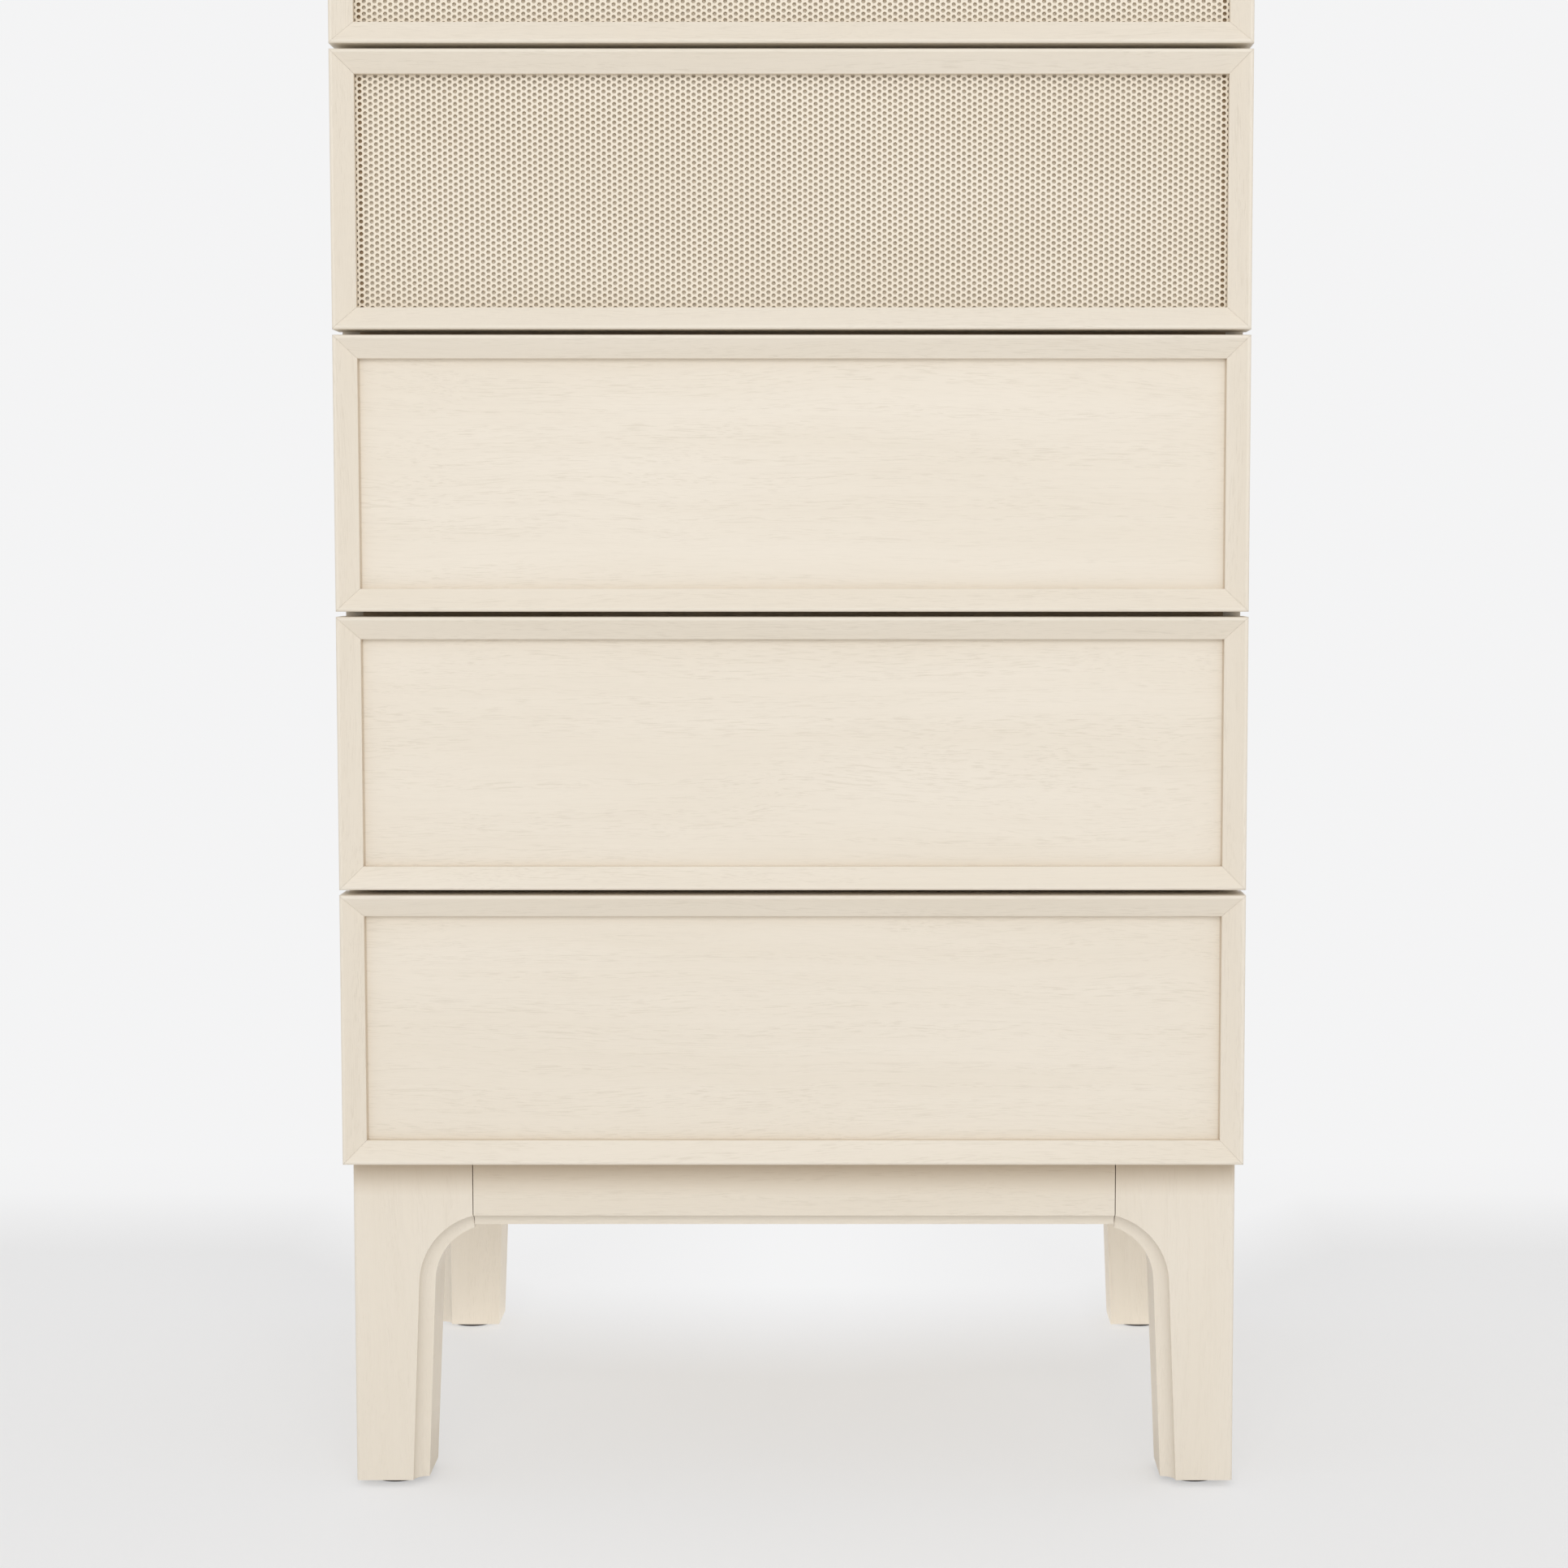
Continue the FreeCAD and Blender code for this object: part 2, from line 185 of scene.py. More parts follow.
def seen_directly(tree):
    """One where the camera, a reflection or glass looks at it, zero where it only sends light."""
    path = add_node(tree, "ShaderNodeLightPath")
    seen = arithmetic(tree, "MAXIMUM", path.outputs["Is Camera Ray"], path.outputs["Is Glossy Ray"])
    return arithmetic(tree, "MAXIMUM", seen, path.outputs["Is Transmission Ray"])


def share_of_backdrop(tree):
    """Half near the chest, where the floor's own shading shows, and all of it further out."""
    x, y = axes_of(tree)[:2]
    out = arithmetic(tree, "ABSOLUTE", x)
    fade_start = between(tree, out, middle_half, side_half, middle_start, side_start)
    past_start = arithmetic(tree, "SUBTRACT", y, fade_start)
    behind = between(tree, past_start, 0.0, fade_length, near_share, 1.0)
    by_the_legs = between(tree, out, clear_half, leg_half, 1.0, leg_share)
    past_the_legs = between(tree, y, leg_shade_start, leg_shade_end, leg_share, 1.0)
    behind = arithmetic(tree, "MULTIPLY", behind, arithmetic(tree, "MAXIMUM", by_the_legs, past_the_legs))
    in_front = between(tree, y, -outer_start, -outer_end, near_share, 1.0)
    beside = between(tree, out, outer_start, outer_end, near_share, 1.0)
    far = arithmetic(tree, "MAXIMUM", arithmetic(tree, "MAXIMUM", behind, in_front), beside)
    return arithmetic(tree, "MULTIPLY", far, seen_directly(tree))


def floor_finish():
    finish, tree, shader = new_finish("pale_floor")
    colour = mixed(tree, noise(tree, place_of(tree), mottle_size), floor_dark, floor_light)
    tree.links.new(colour, shader.inputs["Base Color"])
    shader.inputs["Roughness"].default_value = 0.9
    shader.inputs["Specular IOR Level"].default_value = 0.1
    glow = add_node(tree, "ShaderNodeEmission", {"Color": backdrop_colour, "Strength": 1.0})
    blend = add_node(tree, "ShaderNodeMixShader", {
        0: share_of_backdrop(tree), 1: shader.outputs[0], 2: glow.outputs[0]})
    tree.links.new(blend.outputs[0], tree.nodes["Material Output"].inputs["Surface"])
    return finish


floor.data.materials.append(floor_finish())
print("floor:", floor.name)

# %% [markdown]
# A large soft lamp stands in front of the chest, not much above it, and the room itself gives an even fill.
# Their strengths are set together so that a surface that faces the front renders about as bright as its
# written colour. The lamp in front can't reach the rear legs. A photographer would lay a white card under the
# chest to lift the shade there, and here a very weak lamp lies on the floor and shines upwards.

# %% Light
room_fill = (0.72, 0.72, 0.725, 1.0)


def soft_room():
    world = bpy.data.worlds.new("soft_room")
    world.use_nodes = True
    tree = world.node_tree
    colour = mixed(tree, seen_directly(tree), room_fill, backdrop_colour)
    tree.links.new(colour, tree.nodes["Background"].inputs["Color"])
    return world


def soft_lamp(name, place, target, width, height, watts):
    aim = (Vector(target) - Vector(place)).to_track_quat("-Z", "Y").to_euler()
    bpy.ops.object.light_add(type="AREA", location=place, rotation=aim)
    lamp = bpy.context.active_object
    lamp.name = name
    lamp.data.shape = "RECTANGLE"
    lamp.data.size = width
    lamp.data.size_y = height
    lamp.data.energy = watts
    return lamp


scene.world = soft_room()
soft_lamp("front_lamp", place=(0.05, -3.6, 1.75), target=(0, 0, 0.6), width=2.4, height=1.4, watts=37)
card = soft_lamp("card_on_the_floor", place=(0, 0.08, 0.001), target=(0, 0.08, 1),
                 width=0.52, height=0.30, watts=0.25)
card.visible_camera = False

# %% [markdown]
# ## Cream paint over open grain
# The wood is painted, but the paint is thin and the pores of the grain still show as short fine dark strokes
# that follow the board's length. A picture of wood could be wrapped round each board; a noise that is
# stretched along the grain gives strokes of the right size on every face instead. The strokes keep to soft bands,
# as pores keep to the growth rings, and the whole pattern wanders a little so that no line is quite straight.

# %% Grain
cream = (0.860, 0.787, 0.675, 1.0)
cream_shade = (0.838, 0.762, 0.645, 1.0)
# Brown of the painted shade: in the frames' recess, at the panels' sides, on the backing's ends, under the
# fronts.
painted_shade_brown = (0.50, 0.37, 0.23, 1.0)
pore_tint = (0.78, 0.76, 0.73)
pore_size = (0.014, 0.00055, 0.00055)
ring_size = (0.6, 0.007, 0.007)
area_size = (0.30, 0.03, 0.03)
line_size = (0.30, 0.0022, 0.0022)
full_pores, upright_pores, leg_pores = 0.36, 0.2, 0.14


def level_grain(tree):
    """Patterns run along their first axis, so for grain along x the place stays as it is."""
    return place_of(tree)


def deep_grain(tree):
    x, y, z = axes_of(tree)
    return joined(tree, y, x, z)


def upright_grain(tree):
    x, y, z = axes_of(tree)
    return joined(tree, z, y, x)


def wandering(tree, place, reach, amount):
    """Push the place sideways by a broad noise, so that grain lines bend."""
    drift = noise(tree, place, reach, 1.0, "Color")
    centred = vector_arithmetic(tree, "SUBTRACT", drift, (0.5, 0.5, 0.5))
    push = vector_arithmetic(tree, "MULTIPLY", centred, (0.0, amount, amount))
    return vector_arithmetic(tree, "ADD", place, push)


def pores(tree, place):
    """Short strokes along the grain, gathered in bands: one in a pore, zero between."""
    stroke = between(tree, noise(tree, place, pore_size), 0.54, 0.66, 0.0, 1.0)
    band = between(tree, noise(tree, place, ring_size, 1.0), 0.40, 0.60, 0.25, 1.0)
    return arithmetic(tree, "MULTIPLY", stroke, band)


def finish_of_painted_wood(name, grain, paint=cream, shade=cream_shade, painted_shade=None, pore_share=full_pores):
    """Matt paint: lighter and darker areas, dark pores that are also shallow dents, and painted shade."""
    finish, tree, shader = new_finish(name)
    place = wandering(tree, grain(tree), reach=(0.30, 0.09, 0.09), amount=0.030)
    place = wandering(tree, place, reach=(0.07, 0.025, 0.025), amount=0.005)
    pore = pores(tree, place)
    area = mixed(tree, between(tree, noise(tree, place, area_size), 0.35, 0.65, 0.0, 1.0), paint, shade)
    line = between(tree, noise(tree, place, line_size), 0.45, 0.75, 0.0, 0.08)
    deep = tuple(part * tint for part, tint in zip(paint, pore_tint)) + (1.0,)
    dark = arithmetic(tree, "ADD", line, arithmetic(tree, "MULTIPLY", pore, pore_share))
    colour = mixed(tree, dark, area, deep)
    # Painted shade: where a mask is given, the paint is mixed with brown.
    if painted_shade:
        colour = mixed(tree, painted_shade(tree), colour, painted_shade_brown)
    tree.links.new(colour, shader.inputs["Base Color"])
    tree.links.new(between(tree, pore, 0.0, 1.0, 0.52, 0.72), shader.inputs["Roughness"])
    shader.inputs["Specular IOR Level"].default_value = 0.4
    emboss(tree, shader, arithmetic(tree, "SUBTRACT", 1.0, pore), strength=0.3, depth=0.00015)
    return finish


lengthwise = finish_of_painted_wood("cream_paint_grain_x", level_grain)
upright = finish_of_painted_wood("cream_paint_grain_z", upright_grain, pore_share=upright_pores)
deepwise = finish_of_painted_wood("cream_paint_grain_y", deep_grain)
print("paint finishes: grain along x, y and z")

# %% [markdown]
# The frame round a drawer front is four bars cut at 45 degrees, and the grain of each bar runs along it. All
# four bars are one node, so its finish has to find out which bar a point is on. A point nearer to the
# outer side edge than to the upper or lower edge is on an upright bar, and there the grain is turned.
# Behind the sloping face, in the recess beside the panel, brown is mixed into the paint: painted shade for
# the recess's shadow. The outer faces get none.

# %% Grain of the mitred frames
frame_low, frame_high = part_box("drawer_7_front_frame")
next_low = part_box("drawer_6_front_frame")[0]
front_step = next_low.z - frame_low.z
front_height = frame_high.z - frame_low.z
edge_slack = 0.0005
outer_skin = 0.0004
lip_depth = 0.005
slope_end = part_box("drawer_7_front_panel")[0].y - lip_depth
recess_shade_fade = 0.001
recess_shade_share = 0.3


def from_the_edges(tree):
    """How far in a point lies from the nearer side of its front, and from the upper or lower edge."""
    axes = axes_of(tree)
    from_side = arithmetic(tree, "SUBTRACT", frame_high.x, arithmetic(tree, "ABSOLUTE", axes["X"]))
    climb = arithmetic(tree, "SUBTRACT", axes["Z"], frame_low.z - edge_slack)
    rise = arithmetic(tree, "SUBTRACT", arithmetic(tree, "MODULO", climb, front_step), edge_slack)
    from_top = arithmetic(tree, "SUBTRACT", front_height, rise)
    return from_side, arithmetic(tree, "MINIMUM", rise, from_top)


def frame_grain(tree):
    from_side, from_edge = from_the_edges(tree)
    upright_bar = arithmetic(tree, "LESS_THAN", from_side, from_edge)
    return either(tree, upright_bar, level_grain(tree), upright_grain(tree))


# Painted shade: brown in the recess behind the slope, which lies in shadow.
def shade_behind_the_slope(tree):
    inside = arithmetic(tree, "GREATER_THAN", arithmetic(tree, "MINIMUM", *from_the_edges(tree)), outer_skin)
    recess = between(tree, axes_of(tree)["Y"], slope_end, slope_end + recess_shade_fade, 0.0, recess_shade_share)
    return arithmetic(tree, "MULTIPLY", inside, recess)


mitred = finish_of_painted_wood("cream_paint_mitred", frame_grain, painted_shade=shade_behind_the_slope)
print("fronts repeat every", round(front_step, 4), "m")

# %% [markdown]
# The panels get painted shade too, a narrow brown line where they meet the side bars. The board behind the
# perforated metal has dark brown ends, painted shade, so the last holes beside the frame look dark.

# %% Paint of the panels and of the boards behind the metal
frame_face = 0.013
opening_half = frame_high.x - frame_face


def shade_towards_the_ends(begins, full, share):
    """Painted shade near the ends; where it begins and is full is measured in from the front's opening."""
    def mask(tree):
        out = arithmetic(tree, "ABSOLUTE", axes_of(tree)["X"])
        return between(tree, out, opening_half - begins, opening_half - full, 0.0, share)
    return mask


# Painted shade: a brown line at the panels' sides, and dark brown ends on the backing boards.
panel_paint = finish_of_painted_wood(
    "cream_paint_panel", level_grain, painted_shade=shade_towards_the_ends(begins=0.0009, full=0.0004, share=0.45))
backing_paint = finish_of_painted_wood(
    "cream_paint_backing", level_grain, painted_shade=shade_towards_the_ends(begins=0.0040, full=0.0036, share=1.0))
print("visible opening of a front:", round(2 * opening_half, 4), "m wide")

# %% [markdown]
# The fronts stand out over the apron and the front legs, and the band just under them lies in their shade.
# There brown is mixed into the paint more and more towards the top: painted shade.

# %% Paint of the apron and the front legs
shade_under_fronts_top = frame_low.z - 0.005
shade_under_fronts_end = frame_low.z - 0.024
shade_under_fronts_share = 0.62


# Painted shade: brown under the overhanging fronts, strongest at the top.
def under_the_fronts(tree):
    return between(tree, axes_of(tree)["Z"], shade_under_fronts_end, shade_under_fronts_top, 0.0, shade_under_fronts_share)


apron_paint = finish_of_painted_wood("cream_paint_apron", level_grain, painted_shade=under_the_fronts)
front_leg_paint = finish_of_painted_wood(
    "cream_paint_front_leg", upright_grain, painted_shade=under_the_fronts, pore_share=leg_pores)
# Shows the band of painted shade under the fronts.
print("thin paint from", round(shade_under_fronts_end, 4), "to", round(shade_under_fronts_top, 4), "m above the floor")

# %% [markdown]
# ## Finishes inside the chest
# The drawer boxes and the rails of the case are clear lacquered wood. They are seldom seen, but a drawer that
# is pulled out shows them. The four boards of a box are one node, so here too the finish finds out which
# board a point is on.

# %% Lacquered wood of the boxes and rails
pale_wood = (0.66, 0.50, 0.32, 1.0)
dark_wood = (0.54, 0.38, 0.22, 1.0)
wood_pore = (0.36, 0.23, 0.12, 1.0)
wood_ring_size = (0.45, 0.006, 0.006)
box_board = 0.012
board_slack = 0.0002
between_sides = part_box("drawer_7_box")[1].x - box_board - board_slack


def finish_of_lacquered_wood(name, grain):
    finish, tree, shader = new_finish(name)
    place = wandering(tree, grain(tree), reach=(0.35, 0.06, 0.06), amount=0.04)
    rings = noise(tree, place, wood_ring_size, 3.0)
    pore = pores(tree, place)
    area = mixed(tree, between(tree, rings, 0.36, 0.64, 0.0, 1.0), pale_wood, dark_wood)
    colour = mixed(tree, arithmetic(tree, "MULTIPLY", pore, 0.6), area, wood_pore)
    tree.links.new(colour, shader.inputs["Base Color"])
    tree.links.new(between(tree, rings, 0.3, 0.7, 0.38, 0.50), shader.inputs["Roughness"])
    emboss(tree, shader, arithmetic(tree, "SUBTRACT", 1.0, pore), strength=0.25, depth=0.0002)
    return finish


def box_grain(tree):
    """Grain in depth on the two sides, and lengthwise on the boards between them."""
    out = arithmetic(tree, "ABSOLUTE", axes_of(tree)["X"])
    cross_board = arithmetic(tree, "LESS_THAN", out, between_sides)
    return either(tree, cross_board, deep_grain(tree), level_grain(tree))


box_wood = finish_of_lacquered_wood("lacquered_wood_box", box_grain)
level_wood = finish_of_lacquered_wood("lacquered_wood_grain_x", level_grain)
print("lacquered wood:", box_wood.name, level_wood.name)

# %% [markdown]
# The back, the bottom board and the cleats have a plainer, darker paint. The runners, bolts and screws are zinc
# plated steel, and the glides under the feet are moulded plastic. The paint of the perforated metal is
# smoother than the wood's: no pores, only the faint orange peel of sprayed paint.

# %% Painted board, steel, plastic and painted metal
board_paint = (0.76, 0.68, 0.56, 1.0)
board_shade = (0.72, 0.64, 0.52, 1.0)
plastic, plastic_scuff = (0.10, 0.092, 0.085, 1.0), (0.15, 0.14, 0.13, 1.0)
sheet_cream, sheet_shade = (0.875, 0.79, 0.655, 1.0), (0.85, 0.76, 0.62, 1.0)


def finish_of_steel(name, grain, colour, dull):
    """Plated steel with fine rolling lines and cloudy zinc."""
    finish, tree, shader = new_finish(name)
    place = grain(tree)
    lines = noise(tree, place, (0.08, 0.0006, 0.0006))
    clouds = noise(tree, place, (0.012, 0.006, 0.006), 3.0)
    tree.links.new(mixed(tree, clouds, colour, dull), shader.inputs["Base Color"])
    shader.inputs["Metallic"].default_value = 1.0
    tree.links.new(between(tree, lines, 0.3, 0.7, 0.28, 0.46), shader.inputs["Roughness"])
    emboss(tree, shader, lines, strength=0.15, depth=0.0001)
    return finish


def finish_of_plastic(name):
    """Moulded plastic with a fine grain and a few scuffs."""
    finish, tree, shader = new_finish(name)
    grain = noise(tree, place_of(tree), (0.0006, 0.0006, 0.0006))
    scuffs = noise(tree, place_of(tree), (0.009, 0.002, 0.002), 3.0)
    colour = mixed(tree, between(tree, scuffs, 0.45, 0.7, 0.0, 1.0), plastic, plastic_scuff)
    tree.links.new(colour, shader.inputs["Base Color"])
    tree.links.new(between(tree, scuffs, 0.3, 0.7, 0.45, 0.62), shader.inputs["Roughness"])
    emboss(tree, shader, grain, strength=0.2, depth=0.0001)
    return finish


def finish_of_painted_sheet(name):
    finish, tree, shader = new_finish(name)
    peel = noise(tree, place_of(tree), (0.0011, 0.0011, 0.0011))
    broad = noise(tree, place_of(tree), (0.12, 0.12, 0.05))
    colour = mixed(tree, between(tree, broad, 0.3, 0.7, 0.0, 1.0), sheet_cream, sheet_shade)
    tree.links.new(colour, shader.inputs["Base Color"])
    tree.links.new(between(tree, peel, 0.3, 0.7, 0.42, 0.52), shader.inputs["Roughness"])
    emboss(tree, shader, peel, strength=0.12, depth=0.0001)
    return finish


inner_lengthwise = finish_of_painted_wood("inner_paint_grain_x", level_grain, board_paint, board_shade)
inner_upright = finish_of_painted_wood("inner_paint_grain_z", upright_grain, board_paint, board_shade)
runner_steel = finish_of_steel(
    "zinc_steel_runners", deep_grain, colour=(0.66, 0.66, 0.67, 1.0), dull=(0.52, 0.53, 0.55, 1.0))
screw_steel = finish_of_steel(
    "zinc_steel_fixings", upright_grain, colour=(0.62, 0.61, 0.60, 1.0), dull=(0.48, 0.48, 0.49, 1.0))
glide_plastic = finish_of_plastic("dark_plastic_glides")
sheet_paint = finish_of_painted_sheet("cream_paint_sheet")
print("inner finishes made")

# %% [markdown]
# ## Finish of each solid
# A table of endings says which finish a node takes, and the first ending that fits counts. Uprights such as legs
# and sides have the grain upright, cross pieces have it lengthwise, and pieces that run from front to back
# have it in depth.

# %% Put the finishes on
finish_by_ending = [
    ("_front_frame", mitred), ("_front_panel", panel_paint), ("_front_backing", backing_paint),
    ("_perforated_sheet", sheet_paint), ("_box", box_wood), ("_bottom", level_wood), ("runners", runner_steel),
    ("front_left_leg", front_leg_paint), ("front_right_leg", front_leg_paint), ("_leg", upright),
    ("side_panel", upright), ("front_apron", apron_paint), ("rear_apron", lengthwise),
    ("left_apron", deepwise), ("right_apron", deepwise), ("top_board", lengthwise),
    ("back_panel", inner_upright), ("bottom_board", inner_lengthwise), ("_rails", level_wood),
    ("base_cleats", inner_lengthwise), ("case_screws", screw_steel), ("leg_bolts", screw_steel),
    ("foot_glides", glide_plastic),
]


def finish_for(name):
    return next(finish for ending, finish in finish_by_ending if name.endswith(ending))


for name, solid in nodes.items():
    solid.data.materials.clear()
    solid.data.materials.append(finish_for(name))
print("finished solids:", len(nodes))

# %% [markdown]
# ## Small helpers for shapes
# The shapes that follow are all made in the same way: one small piece is modelled, and finished copies of it are
# put in their places. A copy has its own mesh. It stands for a solid of the frame, takes that solid's
# finish, and rides on that solid's body.

# %% Helpers for shapes


def start_edit(what):
    bpy.ops.object.mode_set(mode="EDIT")
    bpy.ops.mesh.select_all(action=what)


def end_edit():
    bpy.ops.object.mode_set(mode="OBJECT")


def select_only(piece):
    bpy.ops.object.select_all(action="DESELECT")
    piece.select_set(True)
    bpy.context.view_layer.objects.active = piece


def apply_modifier(piece, kind, **settings):
    """Give the active piece a modifier and make its result permanent."""
    bpy.ops.object.modifier_add(type=kind)
    modifier = piece.modifiers[-1]
    for name, value in settings.items():
        setattr(modifier, name, value)
    bpy.ops.object.modifier_apply(modifier=modifier.name)


def copy_of(piece, name):
    select_only(piece)
    bpy.ops.object.duplicate()
    copy = bpy.context.active_object
    copy.name = name
    return copy


def seated_copy(piece, name, body, solid, place, turn=(0, 0, 0)):
    """A copy put in its place for good, that rides on a body and stands for a solid there."""
    copy = copy_of(piece, name)
    copy.rotation_euler = turn
    copy.location = place
    bpy.ops.object.transform_apply(location=True, rotation=True, scale=True)
    copy.data.materials.clear()
    copy.data.materials.append(finish_for(solid))
    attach(copy, body)
    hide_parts(solid)


# %% [markdown]
# ## Perforated metal
# The upper fronts have a thin painted sheet with round holes in staggered rows, 3.5 mm apart. A picture of holes
# would stay flat in a close view, so the holes are real. One hole with the six-sided patch of metal round it is
# enough: such patches fit together with no gaps, and an array turns one into thousands.

# %% One hole
hole_pitch = 0.0035
hole_radius = 0.00125
hole_corners = 8
patch_radius = hole_pitch / math.sqrt(3)
patch_corners = 6
row_step = hole_pitch * math.sqrt(3) / 2
sheet_low, sheet_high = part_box("drawer_1_perforated_sheet")
sheet_size = sheet_high - sheet_low
first_hole = sheet_low + Vector((0.0011, 0, -0.0022))
upright_turn = math.pi / 2

bpy.ops.object.select_all(action="DESELECT")
bpy.ops.mesh.primitive_circle_add(
    vertices=hole_corners, radius=hole_radius, location=first_hole,
    rotation=(upright_turn, math.pi / hole_corners, 0))
sheet = bpy.context.active_object
sheet.name = "perforated_metal"
bpy.ops.object.transform_apply(location=True, rotation=True, scale=True)
start_edit("DESELECT")
bpy.ops.mesh.primitive_circle_add(
    vertices=patch_corners, radius=patch_radius, location=first_hole,
    rotation=(upright_turn, math.pi / patch_corners, 0))
bpy.ops.mesh.select_all(action="SELECT")
bpy.ops.mesh.bridge_edge_loops()
end_edit()
print("one hole:", len(sheet.data.polygons), "faces, normal y", round(sheet.data.polygons[0].normal.y, 3))

# %% [markdown]
# Three arrays fill the sheet: up one column, across to the next column half a step higher, and along the
# front in pairs of columns. Each array welds the patches where they meet. The field is a little larger than the
# sheet, so four straight cuts then trim it. The faces have to look to the front, and are flipped if they don't.

# %% All the holes of a sheet
weld_distance = 0.00001
cut_tolerance = 0.000001


def repeat(piece, count, step):
    apply_modifier(
        piece, "ARRAY", use_relative_offset=False, use_constant_offset=True, constant_offset_displace=step,
        count=count, use_merge_vertices=True, merge_threshold=weld_distance)


def trim(point, outward):
    bpy.ops.mesh.select_all(action="SELECT")
    bpy.ops.mesh.bisect(plane_co=point, plane_no=outward, clear_outer=True, threshold=cut_tolerance)


repeat(sheet, math.ceil(sheet_size.z / hole_pitch) + 2, (0, 0, hole_pitch))
repeat(sheet, 2, (row_step, 0, -hole_pitch / 2))
repeat(sheet, math.ceil(sheet_size.x / (2 * row_step)) + 1, (2 * row_step, 0, 0))
start_edit("SELECT")
bpy.ops.mesh.remove_doubles(threshold=weld_distance)
trim(sheet_low, (-1, 0, 0))
trim(sheet_low, (0, 0, -1))
trim(sheet_high, (1, 0, 0))
trim(sheet_high, (0, 0, 1))
end_edit()
if sheet.data.polygons[0].normal.y > 0:
    start_edit("SELECT")
    bpy.ops.mesh.flip_normals()
    end_edit()
print("flat sheet:", len(sheet.data.polygons), "faces")

# %% [markdown]
# A whole sheet would be a very heavy piece, so it is cut into a left and a right half. Solidify then gives the
# metal its thickness and the holes their walls, and the walls are shaded round.

# %% Left and right halves, thickness and smooth walls
wall_smooth_angle = math.radians(50)


def half_sheet(side, outward):
    """A copy of the flat sheet cut at the middle and given its thickness."""
    half = copy_of(sheet, "sheet_half_" + side)
    start_edit("SELECT")
    trim((0, 0, 0), outward)
    end_edit()
    apply_modifier(half, "SOLIDIFY", thickness=sheet_size.y, offset=-1.0)
    bpy.ops.object.shade_smooth_by_angle(angle=wall_smooth_angle)
    return half


halves = {"left": half_sheet("left", (1, 0, 0)), "right": half_sheet("right", (-1, 0, 0))}
bpy.data.objects.remove(sheet)
for half in halves.values():
    half.data.calc_loop_triangles()
    print(half.name, "triangles:", len(half.data.loop_triangles))

# %% [markdown]
# The finished halves are copied down to the four upper drawers, each in place of the plain solid.

# %% A sheet for each upper drawer
perforated_drawers = (1, 2, 3, 4)
for number in perforated_drawers:
    body = "drawer_%d" % number
    solid = body + "_perforated_sheet"
    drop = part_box(solid)[0].z - sheet_low.z
    for side, half in halves.items():
        seated_copy(half, "%s_sheet_%s" % (body, side), body, solid, (0, 0, drop))
for half in halves.values():
    bpy.data.objects.remove(half)

# %% [markdown]
# ## Screws
# Sixteen screws hold the back panel and the cleats under the bottom board. A plain cylinder would do for the
# size, but the heads are in sight from behind. One screw is grown from a small disc in steps: the point, the
# shank, and a domed head. Two thin blocks then cut the cross into the head.

# %% One screw
screws_low, screws_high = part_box("case_screws")
screw_corners = 16
screw_length = 0.028
point_length = 0.005
point_radius = 0.0006
shank_radius = 0.002
head_radius = 0.004
head_height = 0.0018
cross_length, cross_width, cross_height = 0.0042, 0.0008, 0.0022
round_smooth_angle = math.radians(35)
screw_profile = [
    (point_radius, -screw_length), (shank_radius, point_length - screw_length), (shank_radius, 0.0),
    (head_radius, 0.0), (head_radius, 0.0008), (head_radius * 0.86, 0.0014), (head_radius * 0.5676, head_height),
]


def grown_piece(name, corners, profile):
    """A round piece grown from a disc; each point of its profile is a radius and a height."""
    radius, height = profile[0]
    bpy.ops.object.select_all(action="DESELECT")
    bpy.ops.mesh.primitive_circle_add(
        vertices=corners, radius=radius, fill_type="NGON", location=(0, 0, height))
    piece = bpy.context.active_object
    piece.name = name
    bpy.ops.object.transform_apply(location=True, rotation=True, scale=True)
    start_edit("SELECT")
    for next_radius, next_height in profile[1:]:
        bpy.ops.mesh.extrude_region_move(TRANSFORM_OT_translate={"value": (0, 0, next_height - height)})
        widening = next_radius / radius
        bpy.ops.transform.resize(value=(widening, widening, 1), center_override=(0, 0, 0))
        radius, height = next_radius, next_height
    bpy.ops.mesh.select_all(action="SELECT")
    bpy.ops.mesh.normals_make_consistent(inside=False)
    end_edit()
    return piece


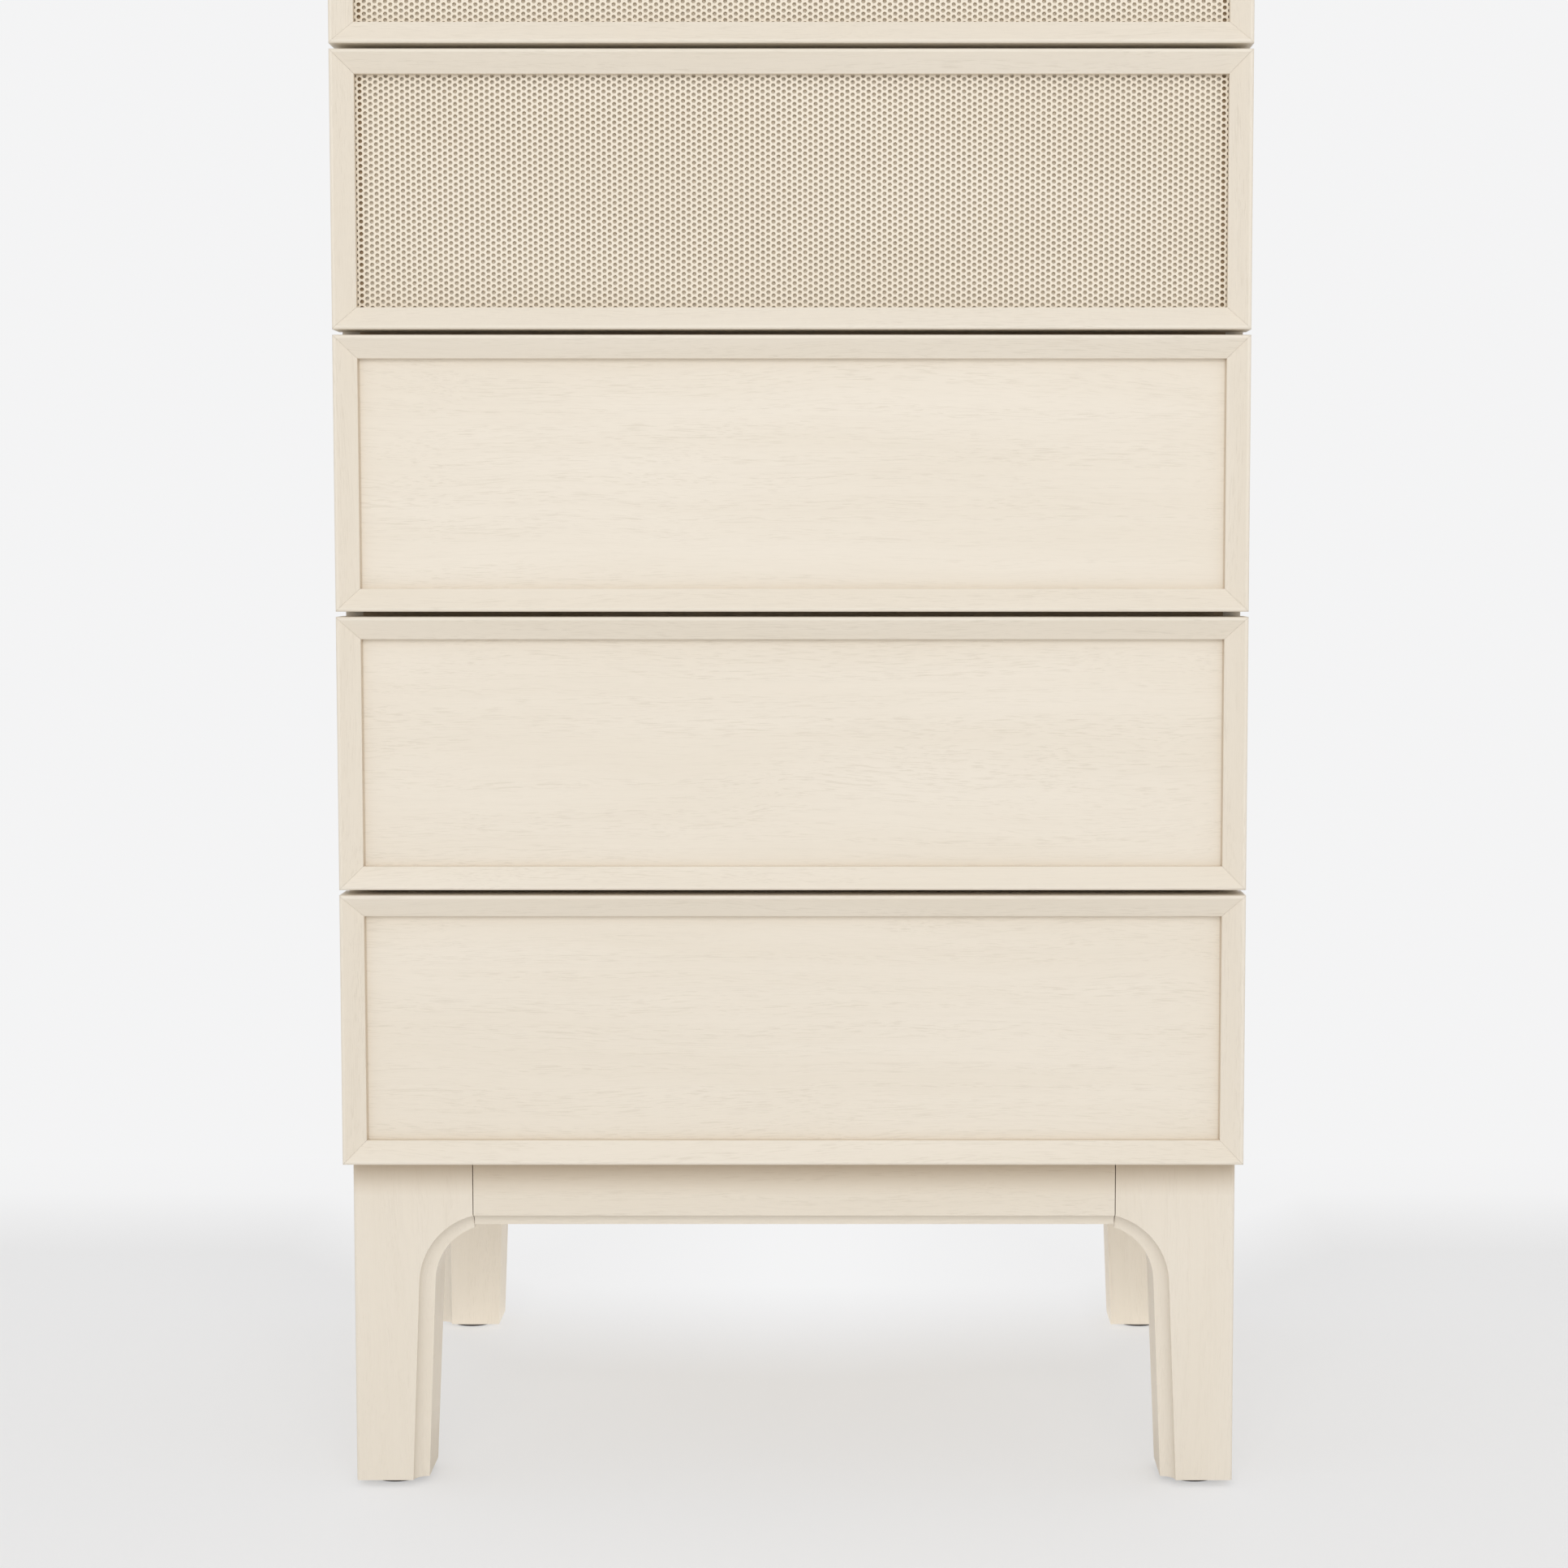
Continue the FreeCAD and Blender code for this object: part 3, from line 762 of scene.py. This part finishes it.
screw = grown_piece("one_screw", screw_corners, screw_profile)
for size in ((cross_length, cross_width, cross_height), (cross_width, cross_length, cross_height)):
    bpy.ops.mesh.primitive_cube_add(size=1.0, location=(0, 0, head_height), scale=size)
    blade = bpy.context.active_object
    bpy.context.view_layer.objects.active = screw
    apply_modifier(screw, "BOOLEAN", operation="DIFFERENCE", object=blade)
    bpy.data.objects.remove(blade)
select_only(screw)
bpy.ops.object.shade_smooth_by_angle(angle=round_smooth_angle)
print("one screw:", len(screw.data.polygons), "faces")

# %% [markdown]
# The screw is copied to its places: six down each side of the back, heads outwards, and four under the cleats,
# heads down.

# %% All the screws
back_rows = 6
back_step = 0.1954
back_column = screws_high.x - head_radius
back_seat = screws_high.y - head_height
highest = screws_high.z - head_radius
cleat_column = 0.110
cleat_rows = (screws_low.y + head_radius, 0.196)
cleat_seat = screws_low.z + head_height
seats = [((side * back_column, back_seat, highest - back_step * row), -math.pi / 2)
         for side in (-1, 1) for row in range(back_rows)]
seats += [((side * cleat_column, y, cleat_seat), math.pi) for side in (-1, 1) for y in cleat_rows]
for number, (place, tilt) in enumerate(seats, 1):
    seated_copy(screw, "case_screw_%02d" % number, "case", "case_screws", place, (tilt, 0, 0))
bpy.data.objects.remove(screw)
print("screws:", len(seats))

# %% [markdown]
# ## Glides
# Each foot stands on a moulded glide with a rounded rim and a small hollow in the middle of its underside. It is
# grown in the same way, from the roof of the hollow outwards and up to the foot.

# %% Glides under the feet
glides_low, glides_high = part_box("foot_glides")
glide_corners = 32
glide_radius = 0.015
glide_profile = [
    (0.0045, 0.0008), (0.0054, 0.0), (0.0135, 0.0), (0.01458, 0.0005), (glide_radius, 0.0014),
    (glide_radius, 0.0040),
]
glide = grown_piece("one_glide", glide_corners, glide_profile)
select_only(glide)
bpy.ops.object.shade_smooth_by_angle(angle=round_smooth_angle)
feet = [(x, y, 0) for x in (glides_low.x + glide_radius, glides_high.x - glide_radius)
        for y in (glides_low.y + glide_radius, glides_high.y - glide_radius)]
for number, place in enumerate(feet, 1):
    seated_copy(glide, "foot_glide_%d" % number, "case", "foot_glides", place)
bpy.data.objects.remove(glide)
print("glides:", len(feet))
